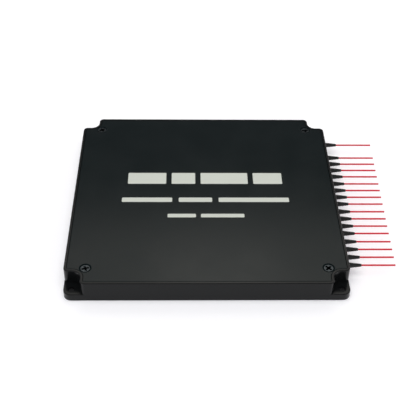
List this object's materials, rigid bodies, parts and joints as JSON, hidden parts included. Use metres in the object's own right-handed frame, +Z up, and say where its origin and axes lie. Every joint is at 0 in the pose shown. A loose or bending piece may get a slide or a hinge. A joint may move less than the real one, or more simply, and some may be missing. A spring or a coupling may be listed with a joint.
{
  "type": "fibre optic splitter module",
  "caption": "Flat black box-type fibre splitter: screwed lid let into a moulded tray with corner mounting ears, and a row of rubber boots with cut red fibre tails on one side.",
  "frame": {"origin": "centre of the case's underside, between the four mounting ears", "axes": "+X towards the wall with the fibre boots, +Y towards the back, where the single input boot is, +Z up out of the lid"},
  "size_m": [0.1698, 0.137, 0.012],
  "materials": {
    "case_plastic": "fine moulded satin black",
    "lid_plastic": "fine moulded satin black",
    "black_screw": "black oxide, slightly glossy",
    "boot_rubber": "matte black rubber",
    "red_buffer": "smooth red buffer",
    "sleeve_steel": "drawn steel",
    "plug_rubber": "matte black rubber",
    "array_glass": "clear ground glass",
    "chip_glass": "clear polished glass",
    "bare_fibre": "clear acrylate coating",
    "silicone": "soft white silicone",
    "foam_tape": "white foam tape",
    "ribbon": "pale ribbon matrix",
    "fanout_plastic": "matte black"
  },
  "bodies": {
    "root": {"base_tray": "case_plastic", "lid": "lid_plastic", "lid_screw_1": "black_screw", "lid_screw_2": "black_screw", "lid_screw_3": "black_screw", "lid_screw_4": "black_screw", "boot_in": "boot_rubber", "boot_out_01": "boot_rubber", "boot_out_02": "boot_rubber", "boot_out_03": "boot_rubber", "boot_out_04": "boot_rubber", "boot_out_05": "boot_rubber", "boot_out_06": "boot_rubber", "boot_out_07": "boot_rubber", "boot_out_08": "boot_rubber", "boot_out_09": "boot_rubber", "boot_out_10": "boot_rubber", "boot_out_11": "boot_rubber", "boot_out_12": "boot_rubber", "boot_out_13": "boot_rubber", "boot_out_14": "boot_rubber", "boot_out_15": "boot_rubber", "boot_out_16": "boot_rubber", "tail_in": "red_buffer", "tail_out_01": "red_buffer", "tail_out_02": "red_buffer", "tail_out_03": "red_buffer", "tail_out_04": "red_buffer", "tail_out_05": "red_buffer", "tail_out_06": "red_buffer", "tail_out_07": "red_buffer", "tail_out_08": "red_buffer", "tail_out_09": "red_buffer", "tail_out_10": "red_buffer", "tail_out_11": "red_buffer", "tail_out_12": "red_buffer", "tail_out_13": "red_buffer", "tail_out_14": "red_buffer", "tail_out_15": "red_buffer", "tail_out_16": "red_buffer", "package_sleeve": "sleeve_steel", "input_plug": "plug_rubber", "output_plug": "plug_rubber", "input_array": "array_glass", "output_array": "array_glass", "splitter_chip": "chip_glass", "chip_cover": "array_glass", "input_fibre": "bare_fibre", "chip_support": "silicone", "package_tape": "foam_tape", "output_ribbon": "ribbon", "fanout_body": "fanout_plastic", "fanout_cover": "fanout_plastic", "fanout_tape": "foam_tape"}
  },
  "joints": []
}
